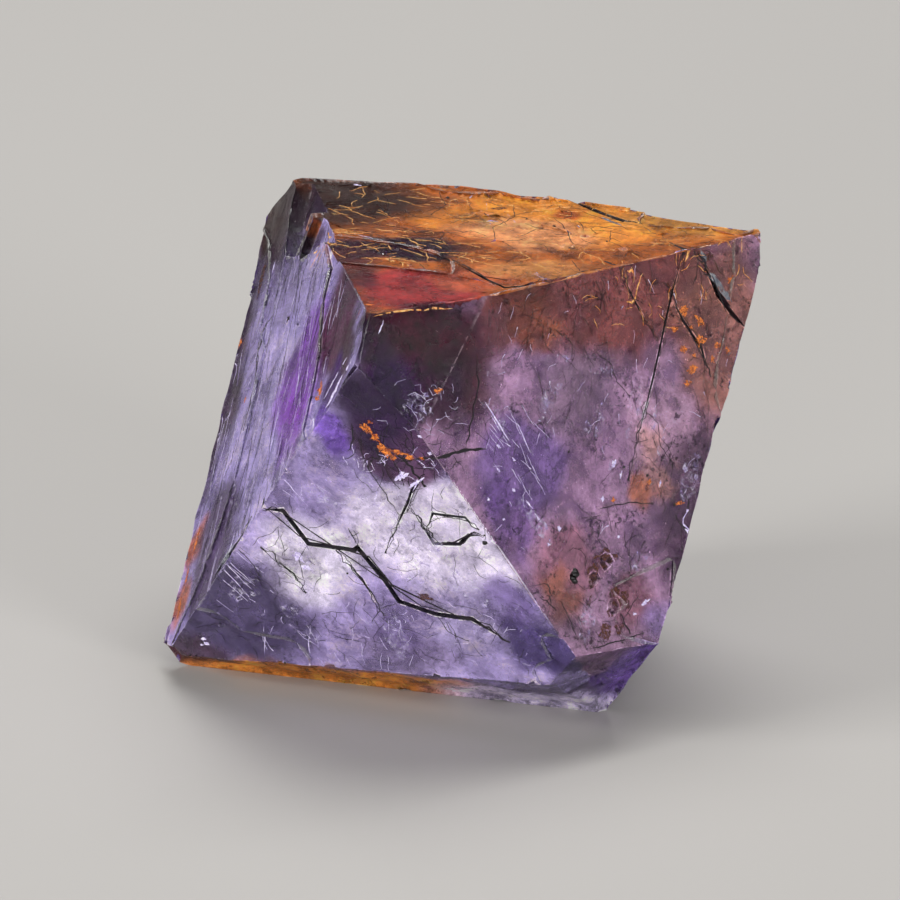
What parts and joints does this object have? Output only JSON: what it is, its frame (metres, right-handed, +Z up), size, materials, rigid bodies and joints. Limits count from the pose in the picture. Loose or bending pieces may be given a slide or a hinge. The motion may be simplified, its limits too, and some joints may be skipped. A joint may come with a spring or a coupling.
{
  "type": "cleaved fluorite octahedron",
  "caption": "Cleaved purple fluorite octahedron with flat glassy faces, shallow ledges, open cracks and chipped corners, lying on a cleavage face.",
  "frame": {"origin": "centre of the footprint's bounding box, on the plane that the stone rests on", "axes": "+Z up, square to the resting face; -Y towards the corner where the left, right and front faces meet"},
  "size_m": [0.0436, 0.0434, 0.034],
  "materials": {
    "fluorite": "split cleavage faces, glassy, with fine steps and small chips"
  },
  "bodies": {
    "root": {"fluorite_octahedron": "fluorite"}
  },
  "joints": []
}
